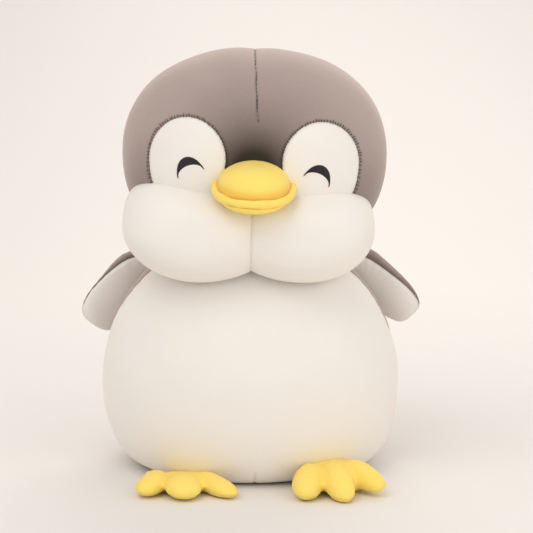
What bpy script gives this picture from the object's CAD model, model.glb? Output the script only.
import math

import bmesh
import bpy
import numpy as np
from mathutils import Matrix, Vector


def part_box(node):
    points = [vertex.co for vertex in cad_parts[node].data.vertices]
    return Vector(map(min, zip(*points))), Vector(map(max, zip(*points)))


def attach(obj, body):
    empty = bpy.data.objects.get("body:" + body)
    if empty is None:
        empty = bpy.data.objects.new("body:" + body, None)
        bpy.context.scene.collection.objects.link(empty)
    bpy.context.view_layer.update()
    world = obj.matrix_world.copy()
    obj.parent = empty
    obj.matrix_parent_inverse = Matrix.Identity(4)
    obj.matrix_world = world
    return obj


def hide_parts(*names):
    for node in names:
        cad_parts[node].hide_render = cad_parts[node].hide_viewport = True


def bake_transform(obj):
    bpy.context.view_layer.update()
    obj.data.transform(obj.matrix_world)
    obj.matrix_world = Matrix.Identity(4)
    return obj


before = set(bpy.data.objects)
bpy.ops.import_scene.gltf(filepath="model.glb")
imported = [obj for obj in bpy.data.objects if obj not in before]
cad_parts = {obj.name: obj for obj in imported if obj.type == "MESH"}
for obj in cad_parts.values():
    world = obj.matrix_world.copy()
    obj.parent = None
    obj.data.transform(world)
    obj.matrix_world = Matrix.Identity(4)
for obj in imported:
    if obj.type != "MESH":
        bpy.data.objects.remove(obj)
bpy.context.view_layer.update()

# ------------------------------------------------------------------ table, camera and light
# A plain pale table top that runs up into a pale backdrop, lit by large soft boxes.

scene = bpy.context.scene
scene.view_settings.view_transform = "Standard"

ground = bpy.data.meshes.new("ground")
sweep = [(-3.0, 0.0), (1.2, 0.0)]
sweep += [(1.2 + 0.9 * math.sin(a), 0.9 - 0.9 * math.cos(a)) for a in np.linspace(0.1, 1.57, 12)]
sweep += [(2.1, 4.0)]
ground.from_pydata([(x, y, z) for y, z in sweep for x in (-4.0, 4.0)], [],
                   [(2 * i, 2 * i + 1, 2 * i + 3, 2 * i + 2) for i in range(len(sweep) - 1)])
for polygon in ground.polygons:
    polygon.use_smooth = True
table_top = bpy.data.objects.new("table_top", ground)
scene.collection.objects.link(table_top)
paper = bpy.data.materials.new("pale_paper")
paper.use_nodes = True
paper.node_tree.nodes["Principled BSDF"].inputs["Base Color"].default_value = (0.82, 0.79, 0.76, 1)
paper.node_tree.nodes["Principled BSDF"].inputs["Roughness"].default_value = 0.9
table_top.data.materials.append(paper)

CAMERA_REACH = 1.45
CAMERA_RISE = math.radians(7)
look_at = Vector((0.015, 0.0, 0.1914))
camera = bpy.data.objects.new("camera", bpy.data.cameras.new("camera"))
camera.data.lens = 102
camera.data.sensor_width = 36
camera.data.sensor_height = 36
away = Vector((0.0, -math.cos(CAMERA_RISE), math.sin(CAMERA_RISE)))
camera.location = look_at + CAMERA_REACH * away
camera.rotation_euler = (math.pi / 2 - CAMERA_RISE, 0.0, 0.0)
scene.collection.objects.link(camera)
scene.camera = camera


def soft_box(name, place, aim, size, power, colour):
    """A square studio light that faces a point."""
    lamp = bpy.data.objects.new(name, bpy.data.lights.new(name, "AREA"))
    lamp.data.size = size
    lamp.data.energy = power
    lamp.data.color = colour
    lamp.location = place
    lamp.rotation_euler = (Vector(aim) - Vector(place)).to_track_quat("-Z", "Y").to_euler()
    scene.collection.objects.link(lamp)


soft_box("key_box", (-0.7, -1.1, 1.9), (0, 0, 0.2), 1.4, 10.5, (1.0, 0.985, 0.96))
soft_box("fill_box", (1.3, -1.6, 0.5), (0, 0, 0.15), 1.6, 9, (1.0, 0.96, 0.92))
soft_box("rim_box", (0.3, 1.5, 1.6), (0, 0, 0.3), 1.4, 14, (1.0, 0.96, 0.92))
sky = bpy.data.worlds.new("room_light")
sky.use_nodes = True
sky.node_tree.nodes["Background"].inputs["Color"].default_value = (1.0, 0.965, 0.94, 1)
sky.node_tree.nodes["Background"].inputs["Strength"].default_value = 0.76
scene.world = sky

# ------------------------------------------------------------------ belly panel
# The white front of the trunk: one piece of stretch velour from side seam to side seam, with a
# short dart at the middle of its lower edge so that it curves under.


def span(*names):
    """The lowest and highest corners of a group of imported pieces, as two arrays."""
    boxes = [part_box(name) for name in names]
    low = np.min([np.array(b[0]) for b in boxes], axis=0)
    high = np.max([np.array(b[1]) for b in boxes], axis=0)
    return low, high


def ramp(x, start, end):
    """0 before start, 1 after end, and smooth between."""
    f = np.clip((x - start) / (end - start), 0, 1)
    return f * f * (3 - 2 * f)


def ripple(p, size, seed):
    """A smooth random field from -1 to 1 whose bumps are about size metres across."""
    rng = np.random.default_rng(seed)
    total = 0
    for _ in range(7):
        way = rng.normal(size=3)
        way *= 2 * math.pi / (size * rng.uniform(1.4, 2.6) * np.linalg.norm(way))
        total = total + np.sin(p @ way + rng.uniform(0, 2 * math.pi))
    return total / 3.5


def groove(distance, depth, width):
    """How far a seam draws the cloth in at a distance from it."""
    return -depth * np.exp(-(distance / width) ** 2)


def patch_grid(rows, columns):
    """Rows by columns of parameters from 0 to 1, and the quads between them."""
    u, v = np.meshgrid(np.linspace(0, 1, rows), np.linspace(0, 1, columns), indexing="ij")
    i = np.arange(rows * columns).reshape(rows, columns)
    quads = np.stack([i[:-1, :-1], i[1:, :-1], i[1:, 1:], i[:-1, 1:]], axis=-1)
    return u.ravel(), v.ravel(), quads.reshape(-1, 4)


def sew(name, points, quads, folds=None, outside=None, thickness=0.0012):
    """One cut piece of cloth as a mesh, thickened to the inside."""
    mesh = bpy.data.meshes.new(name)
    quads = np.asarray(quads)
    if outside is not None:
        a, b, c = (points[quads[:, k]] for k in range(3))
        facing = np.einsum("ij,ij->i", np.cross(b - a, c - a), a - np.asarray(outside))
        if facing.sum() < 0:
            quads = quads[:, ::-1]
    mesh.from_pydata(points.tolist(), [], quads.tolist())
    mesh.shade_smooth()
    fold = mesh.attributes.new("fold", "FLOAT", "POINT")
    fold.data.foreach_set("value", np.zeros(len(points)) if folds is None else folds)
    obj = bpy.data.objects.new(name, mesh)
    scene.collection.objects.link(obj)
    if thickness:
        cloth = obj.modifiers.new("cloth", "SOLIDIFY")
        cloth.thickness = thickness
        cloth.offset = -1
    return obj


class Value:
    """One socket of a finish; arithmetic on it adds Math nodes."""

    def __init__(self, finish, socket):
        self.finish = finish
        self.socket = socket

    def math(self, operation, first, second):
        return self.finish.node("ShaderNodeMath", {"operation": operation}, {0: first, 1: second})

    def __add__(self, other):
        return self.math("ADD", self, other)

    def __sub__(self, other):
        return self.math("SUBTRACT", self, other)

    def __rsub__(self, other):
        return self.math("SUBTRACT", other, self)

    def __mul__(self, other):
        return self.math("MULTIPLY", self, other)

    __radd__ = __add__
    __rmul__ = __mul__


class Finish:
    """A fabric finish: a Principled shader and the nodes that feed it."""

    def __init__(self, name, **constants):
        self.material = bpy.data.materials.new(name)
        self.material.use_nodes = True
        self.tree = self.material.node_tree
        self.shader = self.tree.nodes["Principled BSDF"]
        for socket, value in constants.items():
            self.shader.inputs[socket.replace("_", " ")].default_value = value

    def node(self, kind, settings=None, inputs=None, output=0):
        made = self.tree.nodes.new(kind)
        for key, value in (settings or {}).items():
            setattr(made, key, value)
        for key, value in (inputs or {}).items():
            self.feed(made.inputs[key], value)
        return Value(self, made.outputs[output])

    def feed(self, socket, value):
        if isinstance(value, Value):
            self.tree.links.new(value.socket, socket)
        else:
            socket.default_value = value

    def mix(self, factor, first, second):
        mixed = self.tree.nodes.new("ShaderNodeMix")
        mixed.data_type = "RGBA"
        for key, value in ((0, factor), (6, first), (7, second)):
            self.feed(mixed.inputs[key], value)
        return Value(self, mixed.outputs[2])

    def noise(self, size, detail=2.0, roughness=0.5):
        where = self.node("ShaderNodeTexCoord", output=3)
        return self.node("ShaderNodeTexNoise", {}, {"Vector": where, "Scale": 1 / size,
                                                    "Detail": detail, "Roughness": roughness})


def velour(name, colour, shade, deep, sheen, tint, pile, grain):
    """Short-pile cloth: colour on top, shade in its mottling, deep where it folds into a seam."""
    cloth = Finish(name, Sheen_Weight=sheen, Sheen_Roughness=0.45, Sheen_Tint=tint,
                   Specular_IOR_Level=0.2)
    broad = cloth.noise(0.035, 3.0)
    fine = cloth.noise(grain, 3.0, 0.65)
    fold = cloth.node("ShaderNodeAttribute", {"attribute_name": "fold"}, output=2)
    mottled = cloth.mix(broad * 0.35 + fine * 0.65, shade, colour)
    cloth.feed(cloth.shader.inputs["Base Color"], cloth.mix(fold, mottled, deep))
    cloth.feed(cloth.shader.inputs["Roughness"], 0.80 + fine * 0.2)
    nap = cloth.node("ShaderNodeBump", {}, {"Strength": 0.6, "Distance": pile, "Height": fine})
    cloth.feed(cloth.shader.inputs["Normal"], nap)
    return cloth.material


def rgb(red, green, blue):
    """A screen colour from 0 to 255, as the linear colour that a shader takes."""
    return tuple(((c / 255 + 0.055) / 1.055) ** 2.4 if c > 10 else c / 3295
                 for c in (red, green, blue)) + (1.0,)


white_velour = velour("white_velour", rgb(243, 240, 235), rgb(236, 231, 225), rgb(206, 190, 174),
                      0.55, rgb(255, 246, 236), 0.00025, 0.0011)

trunk_low, trunk_high = span("belly_panel", "back_panel_left", "back_panel_right")
TRUNK_WIDE = (trunk_high[0] - trunk_low[0]) / 2
TRUNK_DEEP = (trunk_high[1] - trunk_low[1]) / 2
TRUNK_MIDDLE = 0.088
TRUNK_UP = 0.142
TRUNK_DOWN = 0.104
NECK_EDGE = 0.37
BASE_EDGE = 2.318
SEAM_FORWARD = 0.004
SEAM_LEAN = math.tan(math.radians(10))


def trunk_form(alpha, phi):
    """The trunk's plain form: alpha goes round it from the toy's left, phi down from the top."""
    n = 2 + ramp(phi, 1.4, 2.2)
    high = np.where(phi < math.pi / 2, TRUNK_UP, TRUNK_DOWN)
    across, along = np.sin(phi), np.cos(phi)
    reach = ((across / TRUNK_WIDE) ** n + (np.abs(along) / high) ** n) ** (-1 / n)
    r, z = reach * across, reach * along + TRUNK_MIDDLE
    z = (z + np.sqrt(z * z + 0.008 ** 2)) / 2 - 0.0012
    x = r * np.cos(alpha)
    y = r * np.sin(alpha) * TRUNK_DEEP / TRUNK_WIDE
    return np.stack([x, y, z], axis=-1)


def trunk_out(p):
    """The way out of the trunk's form at each point."""
    out = (p - (0, 0, TRUNK_MIDDLE)) / np.array([TRUNK_WIDE, TRUNK_DEEP, TRUNK_UP]) ** 2
    return out / np.linalg.norm(out, axis=-1, keepdims=True)


def side_seam(phi):
    """Where the side seam of the toy's left lies at each height, as an angle round the trunk."""
    ring = trunk_form(np.zeros_like(phi), phi)
    y = SEAM_FORWARD - (ring[:, 2] - TRUNK_MIDDLE) * SEAM_LEAN
    return np.arcsin(np.clip(y / (ring[:, 0] * TRUNK_DEEP / TRUNK_WIDE), -0.9, 0.9))


def trunk_skin(alpha, phi):
    """The trunk's skin with its seams drawn in, and how deep in a fold each point lies."""
    p = trunk_form(alpha, phi)
    ring = np.hypot(p[:, 0], p[:, 1])
    seam = side_seam(phi)
    turn = np.abs(np.angle(np.exp(1j * (alpha - seam))))
    other = np.abs(np.angle(np.exp(1j * (alpha - (math.pi - seam)))))
    side = np.minimum(turn, other) * ring
    foot = (BASE_EDGE - phi) * 0.11
    under = np.abs(foot)
    dart = np.hypot(p[:, 0] - 0.004, 6 * np.maximum(p[:, 2] - 0.016, 0)) + np.where(p[:, 1] > 0, 1, 0)
    back = np.abs(p[:, 0]) + np.where(p[:, 1] < 0, 1, 0)
    gather = np.cos(2 * math.pi * p[:, 2] / 0.011 + 3 * ripple(p, 0.05, 3))
    lift = 0.0010 * ripple(p, 0.09, 1) + 0.0004 * ripple(p, 0.03, 2)
    lift = lift + groove(side, 0.0022, 0.0035) + groove(side, 0.0016, 0.014)
    lift = lift + 0.00035 * gather * np.exp(-side / 0.008)
    lift = lift + groove(under, 0.0016, 0.003) + groove(dart, 0.0010, 0.0014)
    lift = lift + groove(back, 0.0020, 0.0030) + 0.0003 * gather * np.exp(-back / 0.007)
    fold = np.exp(-(side / 0.0022) ** 2) + np.exp(-(under / 0.002) ** 2)
    fold = fold + 0.6 * np.exp(-(dart / 0.0010) ** 2) + np.exp(-(back / 0.0018) ** 2)
    skin = p + trunk_out(p) * lift[:, None]
    skin[:, 2] = np.maximum(skin[:, 2], 0.0004)
    return skin, np.clip(0.75 * fold, 0, 1)


u, v, quads = patch_grid(150, 230)
phi = NECK_EDGE + u * (BASE_EDGE - NECK_EDGE)
left_seam = side_seam(phi)
alpha = -math.pi / 2 + (2 * v - 1) * (left_seam + math.pi / 2)
points, folds = trunk_skin(alpha, phi)
belly = sew("belly_cloth", points, quads, folds, outside=(0, 0, TRUNK_MIDDLE))
belly.data.materials.append(white_velour)
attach(belly, "body")
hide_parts("belly_panel")

# ------------------------------------------------------------------ back panels
# The grey back of the trunk in two halves, sewn to the belly at the sides and to each other
# down the middle.

grey_velour = velour("grey_velour", rgb(188, 172, 166), rgb(161, 146, 140), rgb(50, 42, 38),
                     0.7, rgb(235, 220, 210), 0.0003, 0.0011)
for side, sign in (("left", 1), ("right", -1)):
    u, v, quads = patch_grid(150, 110)
    phi = NECK_EDGE + u * (BASE_EDGE - NECK_EDGE)
    left_seam = side_seam(phi)
    alpha = left_seam + v * (math.pi / 2 - left_seam)
    if sign < 0:
        alpha = math.pi - alpha
    points, folds = trunk_skin(alpha, phi)
    back = sew("back_cloth_" + side, points, quads, folds, outside=(0, 0, TRUNK_MIDDLE))
    back.data.materials.append(grey_velour)
    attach(back, "body")
    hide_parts("back_panel_" + side)

# ------------------------------------------------------------------ base panel
# The oval of grey cloth that the toy sits on, pressed flat by its weight.


def disc_grid(n, half=False):
    """A round cut of cloth: distance from the middle and angle, with no pinched centre."""
    u, v, quads = patch_grid(n // 2 + 1 if half else n, n)
    x, y = (u if half else 2 * u - 1), 2 * v - 1
    disc_x, disc_y = x * np.sqrt(1 - y * y / 2), y * np.sqrt(1 - x * x / 2)
    return disc_x, disc_y, quads


x, y, quads = disc_grid(70)
phi = math.pi - np.hypot(x, y) * (math.pi - BASE_EDGE)
points, folds = trunk_skin(np.arctan2(y, x), phi)
base = sew("base_cloth", points, quads, folds, outside=(0, 0, TRUNK_MIDDLE), thickness=0.0008)
base.data.materials.append(grey_velour)
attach(base, "body")
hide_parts("base_panel")

# ------------------------------------------------------------------ trunk stuffing
# Loose polyester fibre, teased into a lump a little smaller than the cloth round it.


def stuffing(name, node, body, points, quads, middle, shrink):
    """A lump of fibre just inside a skin, drawn in towards the skin's middle."""
    middle = np.asarray(middle)
    p = middle + (points - middle) * shrink
    size = np.linalg.norm(p - middle, axis=-1, keepdims=True)
    p = p + (p - middle) / np.maximum(size, 1e-6) * (0.0006 * ripple(p, 0.02, 9))[:, None]
    lump = sew(name, p, quads, outside=middle, thickness=0)
    lump.data.materials.append(fibre)
    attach(lump, body)
    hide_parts(node)
    return lump


wadding = Finish("polyester_fibre", Roughness=1.0, Sheen_Weight=0.4)
tuft = wadding.noise(0.004, 4.0, 0.7)
wadding.feed(wadding.shader.inputs["Base Color"],
             wadding.mix(tuft, rgb(226, 226, 224), rgb(246, 246, 244)))
wadding.feed(wadding.shader.inputs["Normal"],
             wadding.node("ShaderNodeBump", {}, {"Distance": 0.001, "Height": tuft}))
fibre = wadding.material


def ball_grid(rows, columns):
    """Angles round and down a closed ball, with the quads that join it all round."""
    u, v, quads = patch_grid(rows, columns)
    return 2 * math.pi * v, math.pi * (0.002 + 0.996 * u), quads


alpha, phi, quads = ball_grid(60, 90)
points, _ = trunk_skin(alpha, np.maximum(phi, NECK_EDGE * 0.999))
stuffing("trunk_stuffing", "body_filling", "body", points, quads, (0, 0, TRUNK_MIDDLE), 0.972)

# ------------------------------------------------------------------ closing seam and label
# The back seam is closed by hand with a ladder stitch after filling.  A blank satin tape is
# caught in the same seam near the base.


def stitches(name, starts, ends, ups, thick, rise):
    """A row of separate stitches, each a short thread that arches from start to end."""
    sides, steps = 8, 7
    points, quads = [], []
    for start, end, up in zip(starts, ends, ups):
        start, end, up = np.array(start), np.array(end), np.array(up)
        along = (end - start) / np.linalg.norm(end - start)
        across = np.cross(up, along)
        first = len(points)
        for step in range(steps):
            f = step / (steps - 1)
            arch = 4 * f * (1 - f)
            centre = start + (end - start) * f + up * (rise * arch - 0.3 * thick)
            radius = thick / 2 * (0.35 + 0.65 * arch ** 0.4)
            for k in range(sides):
                turn = 2 * math.pi * k / sides
                points.append(centre + radius * (math.cos(turn) * across + math.sin(turn) * up))
        for step in range(steps - 1):
            for k in range(sides):
                a = first + step * sides + k
                b = first + step * sides + (k + 1) % sides
                quads.append((a, b, b + sides, a + sides))
        quads.append(tuple(first + k for k in reversed(range(sides)))[:4])
        quads.append(tuple(first + k for k in (7, 6, 5, 4)))
        quads.append((first, first + 3, first + 4, first + 7))
        last = first + (steps - 1) * sides
        quads.append((last, last + 1, last + 2, last + 3))
        quads.append((last + 4, last + 5, last + 6, last + 7))
        quads.append((last, last + 3, last + 4, last + 7))
    mesh = bpy.data.meshes.new(name)
    mesh.from_pydata([tuple(p) for p in points], [], quads)
    mesh.validate()
    made = bmesh.new()
    made.from_mesh(mesh)
    bmesh.ops.recalc_face_normals(made, faces=made.faces)
    made.to_mesh(mesh)
    made.free()
    mesh.shade_smooth()
    obj = bpy.data.objects.new(name, mesh)
    scene.collection.objects.link(obj)
    return obj


def twisted_thread(name, colour, dark, gloss):
    """Spun sewing thread, with its twist as a fine slanting ripple."""
    thread = Finish(name, Sheen_Weight=0.2, Specular_IOR_Level=0.3)
    ply = thread.noise(0.0004, 2.0)
    thread.feed(thread.shader.inputs["Base Color"], thread.mix(ply, dark, colour))
    thread.feed(thread.shader.inputs["Roughness"], gloss + ply * 0.25)
    thread.feed(thread.shader.inputs["Normal"],
                thread.node("ShaderNodeBump", {}, {"Distance": 0.0001, "Height": ply}))
    return thread.material


grey_thread = twisted_thread("grey_thread", rgb(78, 67, 62), rgb(44, 37, 34), 0.55)
closing_low, closing_high = span("closing_seam_thread")
heights = np.arange(closing_low[2], closing_high[2], 0.0052)
phi_at = np.interp(heights, trunk_form(np.zeros(400), np.linspace(2.3, 0.4, 400))[:, 2],
                   np.linspace(2.3, 0.4, 400))
spots, _ = trunk_skin(np.full(len(heights), math.pi / 2), phi_at)
outs = trunk_out(spots)
offset = np.array([0.0022, 0, 0.0008])
closing = stitches("closing_seam_stitches", spots - offset, spots + offset, outs, 0.0007, 0.0010)
closing.data.materials.append(grey_thread)
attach(closing, "body")
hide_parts("closing_seam_thread")

label_low, label_high = span("care_label")
LABEL_WIDE = label_high[0] - label_low[0]
LABEL_LONG = 0.017
u, v, quads = patch_grid(24, 20)
label_z = (label_low[2] + label_high[2]) / 2
root_y = label_high[1] - LABEL_LONG
droop = 0.006 * u ** 1.6 + 0.0006 * np.sin(5 * v + 2 * u)
points = np.stack([label_low[0] + LABEL_WIDE * v,
                   root_y - 0.003 + (LABEL_LONG + 0.001) * u,
                   label_z + 0.0005 - droop], axis=-1)
label = sew("care_label_tape", points, quads, outside=(0, label_high[1], -1), thickness=0.0004)
tape = Finish("satin_tape", Roughness=0.45, Sheen_Weight=0.2)
rib = tape.noise(0.0006, 1.0)
tape.feed(tape.shader.inputs["Base Color"], tape.mix(rib, rgb(228, 228, 226), rgb(244, 244, 242)))
tape.feed(tape.shader.inputs["Normal"],
          tape.node("ShaderNodeBump", {}, {"Distance": 0.0001, "Height": rib}))
label.data.materials.append(tape.material)
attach(label, "body")
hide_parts("care_label")

# ------------------------------------------------------------------ head covers
# The grey head is a front panel with a dart at the crown, and two back panels.  It is stuffed
# round and firm, and the front dips in where the beak is sewn on.

head_low, head_high = span("head_front_panel", "head_back_panel_left", "head_back_panel_right")
HEAD_WIDE = (head_high[0] - head_low[0]) / 2
HEAD_DEEP = head_high[1]
HEAD_MIDDLE = np.array([(head_low[0] + head_high[0]) / 2, 0.0, 0.298])
HEAD_UP = head_high[2] - HEAD_MIDDLE[2]
HEAD_DOWN = 0.098
HEAD_SQUARE = 2.25
HEAD_SEAM = 0.012
EYE_X, EYE_Z = 0.061, 0.0
EYE_WIDE, EYE_TALL, EYE_LOW = 0.0350, 0.0370, 0.0520
head_lean = np.array(Matrix.Rotation(math.radians(2), 3, "Y"))


def head_place(p):
    """From the head's own upright axes to the toy's."""
    return p @ head_lean.T + HEAD_MIDDLE


def head_reach(d):
    """How far the head's form lies from its middle in each direction."""
    high = np.where(d[:, 2] > 0, HEAD_UP, HEAD_DOWN)
    terms = (np.abs(d[:, 0]) / HEAD_WIDE) ** HEAD_SQUARE + (np.abs(d[:, 1]) / HEAD_DEEP) ** HEAD_SQUARE
    return (terms + (np.abs(d[:, 2]) / high) ** HEAD_SQUARE) ** (-1 / HEAD_SQUARE)


def head_out(p):
    """The way out of the head's form, in the head's own axes."""
    out = p / np.array([HEAD_WIDE, HEAD_DEEP, HEAD_UP]) ** 2
    return out / np.linalg.norm(out, axis=-1, keepdims=True)


def face_hollow(p):
    """How far the forehead dips between the eyes, above the beak."""
    dip = np.exp(-(p[:, 0] / 0.030) ** 2 - ((p[:, 2] - 0.002) / 0.036) ** 2)
    return -0.011 * dip * (p[:, 1] < 0) + 0.0012 * ripple(p, 0.08, 11)


def off_trunk(p, gap=0.0015, depth=0.007):
    """Press points out of the trunk, so that what rests on it takes its shape."""
    middle = np.array([0, 0, TRUNK_MIDDLE])
    room = np.array([TRUNK_WIDE + gap, TRUNK_DEEP + gap + depth, TRUNK_UP + gap])
    inside = np.linalg.norm((p - middle) / room, axis=-1, keepdims=True)
    return middle + (p - middle) * np.maximum(inside, 1) / inside


def dart_line(z):
    """How far across the crown dart lies at each height up the head."""
    return 0.0022 - 0.080 * (z - 0.035)


def head_skin(d):
    """The head's skin in each direction, with its seams and the insets for the eye patches."""
    p = d * head_reach(d)[:, None]
    front = p[:, 1] < 0
    dart = np.hypot(p[:, 0] - dart_line(p[:, 2]), 3 * np.maximum(0.036 - p[:, 2], 0))
    dart = dart + np.where(front, 0, 1)
    side = np.abs(p[:, 1] - HEAD_SEAM)
    back = np.abs(p[:, 0]) + np.where(front, 1, 0)
    tall = np.where(p[:, 2] > EYE_Z, EYE_TALL, EYE_LOW)
    oval = np.hypot((np.abs(p[:, 0]) - EYE_X) / EYE_WIDE, (p[:, 2] - EYE_Z) / tall)
    rim = np.abs(oval - 1) * EYE_WIDE + np.where(front, 0, 1)
    gather = np.cos(2 * math.pi * (p[:, 0] + p[:, 2]) / 0.012 + 3 * ripple(p, 0.05, 13))
    lift = face_hollow(p) + 0.0003 * ripple(p, 0.03, 12)
    lift = lift + groove(dart, 0.0009, 0.0010) + groove(dart, 0.0012, 0.012)
    lift = lift + groove(side, 0.0016, 0.003) + groove(side, 0.0008, 0.012)
    lift = lift + groove(back, 0.0020, 0.003) + groove(back, 0.0010, 0.012)
    lift = lift + 0.0003 * gather * (np.exp(-side / 0.007) + np.exp(-back / 0.007))
    lift = lift + groove(rim, 0.0009, 0.0018) - 0.0022 * (1 - ramp(oval, 0.94, 1.0)) * front
    hollow = np.exp(-(p[:, 0] / 0.030) ** 2 - ((p[:, 2] + 0.008) / 0.032) ** 2) * front
    brow = np.exp(-(p[:, 0] / 0.060) ** 2 - ((p[:, 2] - 0.005) / 0.055) ** 2) * front
    fold = 0.60 * brow + 0.36 * hollow + 0.42 * ramp(-p[:, 2], -0.035, 0.045)
    fold = fold + 0.5 * np.exp(-(dart / 0.0006) ** 2) + 0.7 * np.exp(-(side / 0.0016) ** 2)
    fold = fold + 0.7 * np.exp(-(back / 0.0016) ** 2) + 0.2 * np.exp(-(rim / 0.0012) ** 2)
    placed = head_place(p + head_out(p) * lift[:, None])
    return off_trunk(placed), np.clip(fold, 0, 1)


def seam_angle(turn):
    """How far round from the middle of the face the side seam lies, in each direction."""
    angle = np.full_like(turn, 1.69)
    for _ in range(8):
        d = np.stack([np.sin(angle) * np.cos(turn), -np.cos(angle),
                      np.sin(angle) * np.sin(turn)], axis=-1)
        angle = np.arccos(-HEAD_SEAM / head_reach(d))
    return angle


def face_ways(x, y):
    """Directions over the front panel, from the middle of the face to the side seam."""
    turn = np.arctan2(y, x)
    angle = np.hypot(x, y) * seam_angle(turn)
    return np.stack([np.sin(angle) * np.cos(turn), -np.cos(angle), np.sin(angle) * np.sin(turn)], -1)


def nape_ways(x, y):
    """Directions over the back panels, from the middle of the back to the side seam."""
    turn = np.arctan2(y, x)
    angle = np.hypot(x, y) * (math.pi - seam_angle(turn))
    return np.stack([np.sin(angle) * np.cos(turn), np.cos(angle), np.sin(angle) * np.sin(turn)], -1)


x, y, quads = disc_grid(210)
points, folds = head_skin(face_ways(x, y))
face = sew("head_front_cloth", points, quads, folds, outside=HEAD_MIDDLE)
face.data.materials.append(grey_velour)
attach(face, "head")
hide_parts("head_front_panel")

for side, sign in (("left", 1), ("right", -1)):
    x, y, quads = disc_grid(170, half=True)
    points, folds = head_skin(nape_ways(sign * x, y))
    nape = sew("head_back_cloth_" + side, points, quads, folds, outside=HEAD_MIDDLE)
    nape.data.materials.append(grey_velour)
    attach(nape, "head")
    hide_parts("head_back_panel_" + side)

turn, down, quads = ball_grid(60, 90)
ways = np.stack([np.sin(down) * np.cos(turn), np.sin(down) * np.sin(turn), np.cos(down)], -1)
points, _ = head_skin(ways)
stuffing("head_stuffing", "head_filling", "head", points, quads, HEAD_MIDDLE, 0.965)

# ------------------------------------------------------------------ neck
# The trunk and the head are stuffed through one neck opening.  A short gusset of cloth runs
# up through it, and a ladder stitch round the outside draws head and trunk together.

u, v, quads = patch_grid(14, 120)
turn = 2 * math.pi * v
ring = trunk_form(turn, np.full_like(turn, NECK_EDGE + 0.01))
NECK_RISE = 0.020
gusset = np.stack([ring[:, 0] * (0.97 - 0.10 * u), ring[:, 1] * (0.97 - 0.10 * u),
                   ring[:, 2] - 0.002 + NECK_RISE * u], -1)
gusset[:, 2] += 0.0006 * np.sin(26 * turn) * u
neck = sew("neck_gusset", gusset, quads, outside=(0, 0, 0.22))
neck.data.materials.append(white_velour)
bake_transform(neck)

u, v, quads = ball_grid(26, 60)
points = np.stack([0.046 * np.sin(v) * np.cos(u), 0.038 * np.sin(v) * np.sin(u),
                   0.2145 + 0.0045 * np.cos(v)], -1)
stuffing("neck_stuffing", "neck_filling", "neck", points, quads, (0, 0, 0.2145), 1.0)


def in_head(p):
    """Below 1 inside the head's form, above 1 outside it, for points in the toy's axes."""
    own = (p - HEAD_MIDDLE) @ head_lean
    length = np.linalg.norm(own, axis=-1)
    return length / head_reach(own / length[:, None])


steps = np.linspace(NECK_EDGE, 0.9, 160)
spots, ups, ways = [], [], []
for turn in np.arange(0, 2 * math.pi, 0.085):
    line = trunk_form(np.full_like(steps, turn), steps)
    k = int(np.argmax(in_head(line) > 1.0))
    spots.append(line[k])
    ups.append(trunk_out(line[k][None])[0])
    ways.append(line[k] - line[k - 3])
spots, ups, ways = np.array(spots), np.array(ups), np.array(ways)
ways = ways / np.linalg.norm(ways, axis=-1, keepdims=True)
drawn = stitches("neck_seam_stitches", spots + 0.0015 * ups - 0.002 * ways,
                 spots + 0.0008 * ups + 0.003 * ways, ups, 0.0008, 0.0006)
drawn.data.materials.append(grey_thread)
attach(drawn, "neck")
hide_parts("neck_seam_thread")

# ------------------------------------------------------------------ eye patches
# White ovals let into the grey face, whipped round with grey thread.  Their lower edges are
# caught under the cheeks.


def on_face(x, z, lift=0.0):
    """Points on the face at a place across and up it, in the head's own axes, and the way out."""
    high = np.where(z > 0, HEAD_UP, HEAD_DOWN)
    rest = 1 - (np.abs(x) / HEAD_WIDE) ** HEAD_SQUARE - (np.abs(z) / high) ** HEAD_SQUARE
    y = -HEAD_DEEP * np.maximum(rest, 0.001) ** (1 / HEAD_SQUARE)
    p = np.stack([x, y, z], axis=-1)
    out = head_out(p)
    return p + out * (face_hollow(p) + lift)[:, None], out


def eye_patch(sign, x, y, lift=0.0):
    """The eye patch's skin: x and y run from -1 to 1 across and up the oval."""
    oval = np.hypot(x, y)
    crown = 0.0022 * (1 - np.minimum(oval, 1) ** 2) - 0.0004
    crown = crown + groove((1 - oval) * EYE_WIDE, 0.0007, 0.0018)
    tall = np.where(y > 0, EYE_TALL, EYE_LOW)
    return on_face(sign * (EYE_X + EYE_WIDE * x), EYE_Z + tall * y, crown + lift)


for side, sign in (("left", 1), ("right", -1)):
    x, y, quads = disc_grid(84)
    points, _ = eye_patch(sign, x, y)
    rim = (1 - np.hypot(x, y)) * EYE_WIDE
    patch = sew("eye_patch_cloth_" + side, head_place(points), quads,
                0.3 * np.exp(-(rim / 0.0010) ** 2), outside=HEAD_MIDDLE)
    patch.data.materials.append(white_velour)
    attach(patch, "head")
    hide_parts("eye_patch_" + side)

    rng = np.random.default_rng(21 + sign)
    turns = np.arange(-0.9, math.pi + 0.9, 0.072)
    turns = turns + rng.uniform(-0.012, 0.012, len(turns))
    near = 0.985 + rng.uniform(-0.012, 0.006, len(turns))
    far = 1.055 + rng.uniform(-0.015, 0.018, len(turns))
    start, out = eye_patch(sign, near * np.cos(turns), near * np.sin(turns), 0.0006)
    end, _ = eye_patch(sign, far * np.cos(turns), far * np.sin(turns), 0.0010)
    whip = stitches("eye_patch_stitches_" + side, head_place(start), head_place(end),
                    out @ head_lean.T, 0.0008, 0.0006)
    whip.data.materials.append(grey_thread)
    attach(whip, "head")
    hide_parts("eye_patch_thread_" + side)

# ------------------------------------------------------------------ smiling eyes
# Closed, smiling eyes in black satin stitch: threads laid side by side across each crescent.

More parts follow.
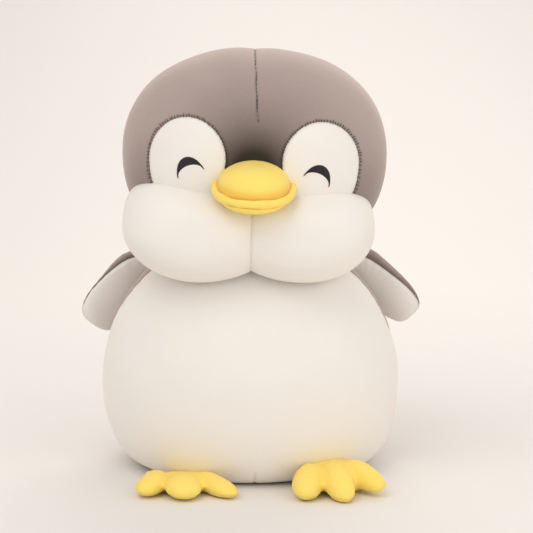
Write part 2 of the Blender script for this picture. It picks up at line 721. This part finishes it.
SMILE_X, SMILE_Z = 0.0550, {"left": -0.0172, "right": -0.0140}
SMILE_WIDE = 0.0240
SMILE_OUTER, SMILE_INNER = 0.0164, 0.0078
SMILE_TILT = math.radians(22)
SMILE_THREADS = 56

satin = Finish("black_satin_stitch", Sheen_Weight=0.25, Specular_IOR_Level=0.35)
strand = satin.noise(0.0005, 2.0)
satin.feed(satin.shader.inputs["Base Color"], satin.mix(strand, rgb(14, 12, 12), rgb(34, 30, 29)))
satin.feed(satin.shader.inputs["Roughness"], 0.42 + strand * 0.25)
black_satin = satin.material
for side, sign in (("left", 1), ("right", -1)):
    u, v, quads = patch_grid(8 * SMILE_THREADS + 1, 11)
    along = np.array([math.cos(SMILE_TILT), -math.sin(SMILE_TILT)])
    up = np.array([math.sin(SMILE_TILT), math.cos(SMILE_TILT)])
    flat = np.outer(-SMILE_WIDE / 2 * np.cos(math.pi * u), along)
    rise = (SMILE_INNER + (SMILE_OUTER - SMILE_INNER) * v) * np.sin(math.pi * u)
    flat = flat + np.outer(rise, up) + np.array([SMILE_X, SMILE_Z[side]])
    crown = 0.0011 * (1 - (2 * v - 1) ** 4) * np.sin(math.pi * u) ** 0.3 - 0.0003
    crown = crown + 0.00013 * np.cos(2 * math.pi * SMILE_THREADS * u) * (1 - (2 * v - 1) ** 4)
    tall = np.where(flat[:, 1] > EYE_Z, EYE_TALL, EYE_LOW)
    own = np.stack([(flat[:, 0] - EYE_X) / EYE_WIDE, (flat[:, 1] - EYE_Z) / tall], -1)
    points, _ = eye_patch(sign, own[:, 0], own[:, 1], crown)
    smile = sew("eye_smile_satin_" + side, head_place(points), quads, outside=HEAD_MIDDLE,
                thickness=0.0006)
    smile.data.materials.append(black_satin)
    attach(smile, "head")
    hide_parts("eye_smile_" + side)

# ------------------------------------------------------------------ crown dart
# The dart from the crown down the forehead, closed by hand with small uneven stitches.

rng = np.random.default_rng(5)
heights = np.arange(0.040, 0.1000, 0.0034)
heights = heights + rng.uniform(-0.0005, 0.0005, len(heights))
sway = dart_line(heights) + 0.0003 * np.sin(heights * 190)
start, out = on_face(sway, heights, -0.0017)
end, _ = on_face(sway, heights + 0.0026, -0.0017)
dart = stitches("crown_dart_stitches", head_place(start), head_place(end), out @ head_lean.T,
                0.0005, 0.0005)
dart.data.materials.append(grey_thread)
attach(dart, "head")
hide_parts("crown_dart_thread")

# ------------------------------------------------------------------ cheeks
# Two plump white lobes of velour, seamed together at the middle and sewn across the lower face.
# They rest on the top of the belly and take its curve there.

CHEEK_X, CHEEK_Y, CHEEK_Z = 0.050, -0.042, -0.063
CHEEK_FRONT, CHEEK_REAR, CHEEK_TALL, CHEEK_LOW = 0.084, 0.060, 0.042, 0.052
CHEEK_WIDE = {1: 0.0620, -1: 0.0690}    # outer half-width of the left lobe and the right one
CHEEK_INNER = 0.078                     # the same towards the middle seam, where they meet flat
CHEEK_LEFT_HIGHER = 0.003
CHEEK_SEAM_ROUND = 0.0014


def cheek_skin(sign, x, y, shrink=1.0):
    """One cheek's skin, from the middle of its front round to where it enters the head."""
    turn, angle = np.arctan2(y, x), np.hypot(x, y) * 2.75
    d = np.stack([np.sin(angle) * np.cos(turn), -np.cos(angle), np.sin(angle) * np.sin(turn)], -1)
    deep = np.where(d[:, 1] < 0, CHEEK_FRONT, CHEEK_REAR)
    wide = np.where(d[:, 0] < 0, CHEEK_INNER, CHEEK_WIDE[sign])
    tall = np.where(d[:, 2] > 0, CHEEK_TALL, CHEEK_LOW - (CHEEK_LEFT_HIGHER if sign > 0 else 0))
    square = 2.0 + (0.9 if sign > 0 else 1.3) * ramp(d[:, 2], -0.2, 0.5)
    flat = (np.abs(d[:, 0]) / wide) ** square + (np.abs(d[:, 2]) / tall) ** square
    fore = np.where(d[:, 1] < 0, 3.3 - 1.0 * ramp(d[:, 2], -0.2, 0.4), 2.2)
    reach = (flat ** (fore / square) + (np.abs(d[:, 1]) / deep) ** fore) ** (-1 / fore)
    p = d * (reach * shrink)[:, None]
    p = p + d * (0.0016 * ripple(p + sign, 0.07, 31))[:, None]
    p = p + np.array([CHEEK_X, CHEEK_Y, CHEEK_Z])
    across = p[:, 0]
    p[:, 0] = (across + np.sqrt(across ** 2 + CHEEK_SEAM_ROUND ** 2)) / 2
    p[:, 0] = p[:, 0] - CHEEK_SEAM_ROUND / 2 * np.exp(-(across / CHEEK_SEAM_ROUND) ** 2)
    middle = p[:, 0]
    length = np.linalg.norm(p, axis=-1)
    crease = (length / head_reach(p / length[:, None]) - 1) * 0.1
    fold = 0.10 * np.exp(-(middle / 0.0010) ** 2) + 0.15 * np.exp(-(crease / 0.003) ** 2)
    p = p * np.array([sign, 1, 1])
    return off_trunk(head_place(p)), np.clip(fold, 0, 1)


for side, sign in (("left", 1), ("right", -1)):
    heart = head_place(np.array([[sign * CHEEK_X, CHEEK_Y, CHEEK_Z]]))[0]
    x, y, quads = disc_grid(150)
    points, folds = cheek_skin(sign, x, y)
    cheek = sew("cheek_cloth_" + side, points, quads, folds, outside=heart)
    cheek.data.materials.append(white_velour)
    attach(cheek, "head")
    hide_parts("cheek_panel_" + side)
    x, y, quads = disc_grid(50)
    points, _ = cheek_skin(sign, x, y)
    stuffing("cheek_stuffing_" + side, "cheek_filling_" + side, "head", points, quads, heart, 0.94)

# ------------------------------------------------------------------ beak
# Yellow short-pile velvet.  The upper bill is a stuffed dome that ends in a rolled lip, and the
# lower bill shows just under the lip.

BEAK_WIDE, BEAK_REACH, BEAK_RISE = 0.0330, 0.0420, 0.0225
BEAK_PITCH = math.radians(12.5)
yellow_velvet = velour("yellow_velvet", rgb(255, 233, 130), rgb(252, 219, 100), rgb(236, 178, 60),
                       0.8, rgb(255, 228, 150), 0.0006, 0.0016)
beak_root = np.array([0.0006, -0.1055, -0.0240])
beak_tip = np.array(Matrix.Rotation(BEAK_PITCH, 3, "X"))


def beak_place(side, fore, rise):
    """From along, out and up the beak to the toy's axes."""
    return head_place(np.stack([side, -fore, rise], -1) @ beak_tip.T + beak_root)


def bill(x, y, top, roundness):
    """A bill's surface over its outline: x runs across it and y out from the face."""
    spread = np.minimum(np.hypot(x, y), 1)
    return top * (1 - spread ** roundness) ** 0.5


x, y, quads = disc_grid(96)
edge = (1 - np.hypot(x, y)) * BEAK_WIDE
dome_fore = BEAK_REACH * y
rise = bill(x, y, BEAK_RISE, 2.6)
flat = np.stack([x * BEAK_WIDE, dome_fore, rise], -1)
rise = rise + 0.0010 * ripple(flat, 0.03, 41) * (1 - np.hypot(x, y) ** 4)
points = beak_place(x * BEAK_WIDE, dome_fore, rise)
heart = beak_place(np.zeros(1), np.zeros(1), np.zeros(1))[0]
upper = sew("beak_upper_dome", points, quads, 0.6 * np.exp(-(edge / 0.0016) ** 2), outside=heart)
upper.data.materials.append(yellow_velvet)
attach(upper, "head")
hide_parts("beak_upper")

u, v, quads = patch_grid(150, 29)
turn = math.radians(-24) + u * math.radians(228)
roll = 2 * math.pi * v
wave = 0.0004 * np.sin(5 * turn + 0.6) + 0.0002 * np.sin(11 * turn)
ends = ramp(u, 0, 0.08) * ramp(1 - u, 0, 0.08)
out = 0.0016 + (0.0020 + 0.0014 * ends) * np.cos(roll)
tall = (0.0038 + wave) * np.sin(roll) - 0.0022 + 0.0035 * (1 - ramp(np.sin(turn), -0.1, 0.5))
points = beak_place((BEAK_WIDE + out) * np.cos(turn), (BEAK_REACH + out) * np.sin(turn), tall)
lip = sew("beak_upper_lip", points, quads, 0.5 * np.exp(-((np.cos(roll) + 1) / 0.5) ** 2), thickness=0)
lip_mesh = bmesh.new()
lip_mesh.from_mesh(lip.data)
bmesh.ops.remove_doubles(lip_mesh, verts=lip_mesh.verts, dist=0.00001)
bmesh.ops.holes_fill(lip_mesh, edges=lip_mesh.edges, sides=40)
bmesh.ops.recalc_face_normals(lip_mesh, faces=lip_mesh.faces)
lip_mesh.to_mesh(lip.data)
lip_mesh.free()
lip.data.shade_smooth()
lip.data.materials.append(yellow_velvet)
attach(lip, "head")

x, y, quads = disc_grid(70)
under = -0.0056 - bill(x, y, 0.0092, 3.5)
points = beak_place(x * (BEAK_WIDE - 0.0010), y * (BEAK_REACH + 0.0058), under)
lower = sew("beak_lower_bill", points, quads,
            outside=beak_place(np.zeros(1), np.zeros(1), np.array([0.002]))[0])
lower.data.materials.append(yellow_velvet)
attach(lower, "head")
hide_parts("beak_lower")

turn, down, quads = ball_grid(26, 40)
points = beak_place(0.031 * np.sin(down) * np.cos(turn), 0.038 * np.sin(down) * np.sin(turn),
                    0.006 + 0.0125 * np.cos(down))
stuffing("beak_stuffing", "beak_filling", "head", points, quads, heart, 1.0)

# ------------------------------------------------------------------ flippers
# Flat, softly filled paddles: white inside, grey outside, with the grey turned over the leading
# edge.  Each is sewn to the side of the trunk at its root, under the head.


PADDLE_ROOT = 2.4            # how square the root end of a flipper or tail is; 2 is an ellipse


def way_out(points, quads):
    """The way out of a closed skin at each of its points."""
    a, b, c, d = (points[quads[:, k]] for k in range(4))
    face = np.cross(c - a, d - b)
    face = face * np.sign(np.sum(face * ((a + c) / 2 - points.mean(axis=0))))
    out = np.zeros_like(points)
    for k in range(4):
        np.add.at(out, quads[:, k], face)
    return out / np.maximum(np.linalg.norm(out, axis=1, keepdims=True), 1e-12)


def read_mesh(mesh):
    """The points and quads of a mesh as arrays."""
    points = np.empty(3 * len(mesh.vertices))
    mesh.vertices.foreach_get("co", points)
    quads = np.array([list(p.vertices) for p in mesh.polygons if len(p.vertices) == 4])
    return points.reshape(-1, 3), quads


def blow_up(points, quads, pressure, most):
    """Fill a closed cloth bag: a short cloth simulation that no point may leave by more than most."""
    bag = sew("bag", points, quads, thickness=0)
    cloth = bag.modifiers.new("cloth", "CLOTH")
    cloth.settings.quality = 4
    cloth.settings.mass = 0.2
    cloth.settings.tension_stiffness = 12
    cloth.settings.compression_stiffness = 6
    cloth.settings.bending_stiffness = 0.2
    cloth.settings.use_pressure = True
    cloth.settings.uniform_pressure_force = pressure
    cloth.settings.effector_weights.gravity = 0
    for step in range(1, 21):
        scene.frame_set(step)
    filled = bag.evaluated_get(bpy.context.evaluated_depsgraph_get()).to_mesh()
    moved = read_mesh(filled)[0] - points
    bpy.data.objects.remove(bag)
    scene.frame_set(1)
    far = np.linalg.norm(moved, axis=1, keepdims=True)
    return points + moved * np.minimum(1, most / np.maximum(far, 1e-9))


def relaxed(points, quads, rounds):
    """A skin smoothed by moving each point towards the middle of its neighbours."""
    for _ in range(rounds):
        total, count = np.zeros_like(points), np.zeros(len(points))
        for k in range(4):
            for other in (k - 1, (k + 1) % 4):
                np.add.at(total, quads[:, k], points[quads[:, other]])
                np.add.at(count, quads[:, k], 1)
        points = 0.4 * points + 0.6 * total / np.maximum(count, 1)[:, None]
    return points


def paddle(middle, along, through, across, long, thick, wide, tip, turned, grid=90):
    """A closed paddle of two cloths: its points, and the quads of its front and its back cloth.

    turned says how far the back cloth turns over the upper edge, in degrees: at the root, at the
    tip, and at least.
    """
    x, y, quads = disc_grid(grid)
    rim = np.hypot(x, y) > 0.9999
    side = y / np.sqrt(np.maximum(1 - x * x, 1e-9))
    u = np.clip(x, -1, 1)
    blunt = np.where(u > 0, tip, PADDLE_ROOT)
    q = np.maximum(1 - np.abs(u) ** blunt, 0) ** (1 / blunt)
    root, end, least = turned
    edge = -np.radians(np.maximum((root + end) / 2 - (root - end) / 2 * u, least))
    sheets = []
    for far in (-math.pi, math.pi):
        turn = far + (edge - far) * (np.clip(side, -1, 1) + 1) / 2
        sheets.append(np.outer(long * u, along) + np.outer(wide * q * np.cos(turn), across)
                      + np.outer(thick * q ** 0.7 * np.sin(turn), through))
    number = np.arange(len(x))
    number[~rim] = len(x) + np.arange((~rim).sum())
    points = np.concatenate([sheets[0], sheets[1][~rim]]) + middle
    return points, quads, number[quads][:, ::-1], (1 - np.hypot(x, y)) * wide, number, np.arctan2(y, x)


def paddle_seam(points, front, back, near, number, turn, wide):
    """Draw the seam of a paddle in, with small gathers, and say how far each point is from it."""
    gap = np.zeros(len(points))
    around = np.zeros(len(points))
    gap[:len(near)], around[:len(near)] = near, turn
    gap[number], around[number] = near, turn
    gathers = np.cos(around * wide / 0.0016 + 3 * ripple(points, 0.03, 51)) * np.exp(-gap / 0.006)
    lift = groove(gap, 0.0011, 0.0024) + 0.00030 * gathers
    lift = lift * ramp(np.abs(around), 0.3, 1.3) + 0.0007 * ripple(points, 0.024, 52)
    out = way_out(points, np.concatenate([front, back]))
    return points + out * lift[:, None], gap


def panel(name, points, quads, folds, middle, body, node, material):
    """One cloth panel of a closed bag, made into its own piece."""
    used, places = np.unique(quads, return_inverse=True)
    cloth = sew(name, points[used], places.reshape(quads.shape), folds[used], outside=middle,
                thickness=0)
    smooth = cloth.modifiers.new("smooth", "SUBSURF")
    smooth.levels = smooth.render_levels = 1
    thick = cloth.modifiers.new("cloth", "SOLIDIFY")
    thick.thickness = 0.0005
    thick.offset = -1
    cloth.data.materials.append(material)
    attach(cloth, body)
    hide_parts(node)
    return cloth


WING_LONG, WING_THICK, WING_TIP = 0.0540, 0.0085, 3.0
WING_TWIST = math.radians(28)
WINGS = {
    # hang in degrees, rise, half-width, and the turn of the grey cloth at root, tip and least
    "left": (44, 0.003, 0.0240, (66, 12, 3)),
    "right": (48, -0.003, 0.0285, (62, -20, 3)),
}
for side, sign in (("left", 1), ("right", -1)):
    hang, rise, wide, turned = WINGS[side]
    low, high = span("wing_inner_" + side, "wing_outer_" + side)
    middle = (low + high) / 2
    lie = Matrix.Rotation(math.radians(hang), 3, "Y") @ Matrix.Rotation(WING_TWIST, 3, "X")
    along, through, across = np.array(lie).T * np.array([[sign, 1, 1]])
    middle = middle + np.array([0, 0, rise])
    points, front, back, near, number, turn = paddle(
        middle, along, through, across, WING_LONG, WING_THICK, wide, WING_TIP, turned)
    bag = np.concatenate([front, back])
    reach = ramp(-(points - middle) @ along, 0.018, 0.052) * 0.009
    points = points - trunk_out(points) * reach[:, None]
    points = relaxed(blow_up(points, bag, 4, 0.004), bag, 8)
    points, gap = paddle_seam(points, front, back, near, number, turn, 0.04)
    points = off_trunk(points, 0.0012, 0.0)
    panel("wing_inner_cloth_" + side, points, front, 0.4 * np.exp(-(gap / 0.0012) ** 2), middle,
          "wing_" + side, "wing_inner_" + side, white_velour)
    panel("wing_outer_cloth_" + side, points, back, 0.6 * np.exp(-(gap / 0.0040) ** 2), middle,
          "wing_" + side, "wing_outer_" + side, grey_velour)
    stuffing("wing_stuffing_" + side, "wing_filling_" + side, "wing_" + side,
             points - 0.0016 * way_out(points, bag), bag, middle, 1.0)

# ------------------------------------------------------------------ feet
# Yellow velvet feet with three round toes, an upper and a sole joined low down, sewn under the
# front of the trunk.  The toy's right foot is the flatter one, and its toes spread wider.

FEET = {
    # across, fore, high, half-width, half-length, half-height, turn outward, dip forward, degrees
    "left": [(0.079, 0.100, 0.0120, 0.034, 0.028, 0.0110, 0, 8),
             (0.0510, 0.124, 0.0122, 0.0150, 0.028, 0.0122, -8, 10),
             (0.0795, 0.127, 0.0128, 0.0142, 0.030, 0.0118, 14, 16),
             (0.1030, 0.112, 0.0148, 0.0126, 0.027, 0.0112, 40, 10)],
    "right": [(0.059, 0.102, 0.0068, 0.034, 0.025, 0.0066, 0, 0),
              (0.0290, 0.120, 0.0080, 0.0120, 0.027, 0.0078, -42, 6),
              (0.0590, 0.131, 0.0092, 0.0175, 0.020, 0.0090, -6, 6),
              (0.0885, 0.118, 0.0092, 0.0138, 0.024, 0.0090, 20, 2),
              (0.0930, 0.101, 0.0140, 0.0040, 0.006, 0.0034, 0, 0)],
}
SOLE_SEAM = 0.0040


def remeshed(parts, voxel):
    """One closed skin of even quads over a group of ellipsoids, each (place, turn, dip, radii)."""
    blob = bmesh.new()
    for place, turn, dip, radii in parts:
        at = Matrix.Translation(place) @ Matrix.Rotation(turn, 4, "Z")
        at = at @ Matrix.Rotation(dip, 4, "X") @ Matrix.Diagonal((*radii, 1))
        bmesh.ops.create_icosphere(blob, subdivisions=4, radius=1, matrix=at)
    mesh = bpy.data.meshes.new("blob")
    blob.to_mesh(mesh)
    blob.free()
    obj = bpy.data.objects.new("blob", mesh)
    scene.collection.objects.link(obj)
    skin = obj.modifiers.new("skin", "REMESH")
    skin.mode = "VOXEL"
    skin.voxel_size = voxel
    even = obj.modifiers.new("even", "SMOOTH")
    even.iterations = 4
    made = read_mesh(obj.evaluated_get(bpy.context.evaluated_depsgraph_get()).to_mesh())
    bpy.data.objects.remove(obj)
    return made


def subdivided(points, quads):
    """The same closed skin with one more subdivision."""
    obj = sew("finer", points, quads, thickness=0)
    finer = obj.modifiers.new("finer", "SUBSURF")
    finer.levels = 1
    made = read_mesh(obj.evaluated_get(bpy.context.evaluated_depsgraph_get()).to_mesh())
    bpy.data.objects.remove(obj)
    return made


def parted(points, quads, height):
    """A closed skin cut level at a height: the points and triangles above it, and those below."""
    pieces = []
    for upper in (True, False):
        made = bmesh.new()
        spots = [made.verts.new(p) for p in points]
        for quad in quads:
            made.faces.new([spots[k] for k in quad])
        bmesh.ops.bisect_plane(made, geom=made.verts[:] + made.edges[:] + made.faces[:],
                               plane_co=(0, 0, height), plane_no=(0, 0, 1),
                               clear_inner=upper, clear_outer=not upper)
        bmesh.ops.triangulate(made, faces=made.faces[:])
        made.verts.index_update()
        pieces.append((np.array([v.co[:] for v in made.verts]),
                       np.array([[v.index for v in f.verts] for f in made.faces])))
        made.free()
    return pieces


for side, sign in (("left", 1), ("right", -1)):
    forms = [(Vector((sign * x, -y, z)), sign * math.radians(turn), math.radians(dip), (rx, ry, rz))
             for x, y, z, rx, ry, rz, turn, dip in FEET[side]]
    middle = np.array([sign * FEET[side][0][0], -0.110, 0.010])
    points, quads = remeshed(forms, 0.0024)
    points = blow_up(points, quads, 4, 0.0015)
    points[:, 2] = (points[:, 2] + np.sqrt(points[:, 2] ** 2 + 0.002 ** 2)) / 2
    points = off_trunk(points, 0.0008, 0.0)
    points[:, 2] = np.maximum(points[:, 2], 0.0008)
    points, quads = subdivided(points, quads)
    out = way_out(points, quads)
    seam = np.abs(points[:, 2] - SOLE_SEAM) + np.where(out[:, 1] > 0.5, 0.01, 0)
    lift = groove(seam, 0.0005, 0.0010) + 0.0006 * ripple(points, 0.016, 61)
    lift = lift * ramp(points[:, 2], 0.0004, 0.003)
    inside = points - 0.0022 * out
    inside[:, 2] = np.maximum(inside[:, 2], 0.0020)
    stuffing("foot_stuffing_" + side, "foot_filling_" + side, "foot_" + side,
             inside, quads, middle, 1.0)
    points = points + out * lift[:, None]
    for name, (cut, triangles) in zip(("upper", "sole"), parted(points, quads, SOLE_SEAM)):
        folds = 0.25 * np.exp(-((cut[:, 2] - SOLE_SEAM) / 0.0008) ** 2)
        foot = sew("foot_%s_cloth_%s" % (name, side), cut, triangles, folds, outside=middle,
                   thickness=0.0006)
        foot.data.materials.append(yellow_velvet)
        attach(foot, "foot_" + side)
        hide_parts("foot_%s_%s" % (name, side))

# ------------------------------------------------------------------ tail
# A short grey tail, two rounded cloths with a little filling, sewn low on the back.

low, high = span("tail_upper", "tail_lower")
middle = (low + high) / 2 - np.array([0, 0.004, 0.001])
rise = np.array(Matrix.Rotation(math.radians(22), 3, "X"))
points, front, back, near, number, turn = paddle(
    middle, rise @ (0, 1, 0), rise @ (0, 0, 1), rise @ (1, 0, 0), 0.0240, 0.0080, 0.0200,
    2.3, (0, 0, 0), grid=60)
bag = np.concatenate([front, back])
points = relaxed(blow_up(points, bag, 4, 0.002), bag, 2)
points, gap = paddle_seam(points, front, back, near, number, turn, 0.022)
folds = 0.6 * np.exp(-(gap / 0.0018) ** 2)
points = off_trunk(points, 0.0010, 0.0)
panel("tail_lower_cloth", points, front, folds, middle, "tail", "tail_lower", grey_velour)
panel("tail_upper_cloth", points, back, folds, middle, "tail", "tail_upper", grey_velour)
stuffing("tail_stuffing", "tail_filling", "tail", points - 0.0016 * way_out(points, bag), bag,
         middle, 1.0)
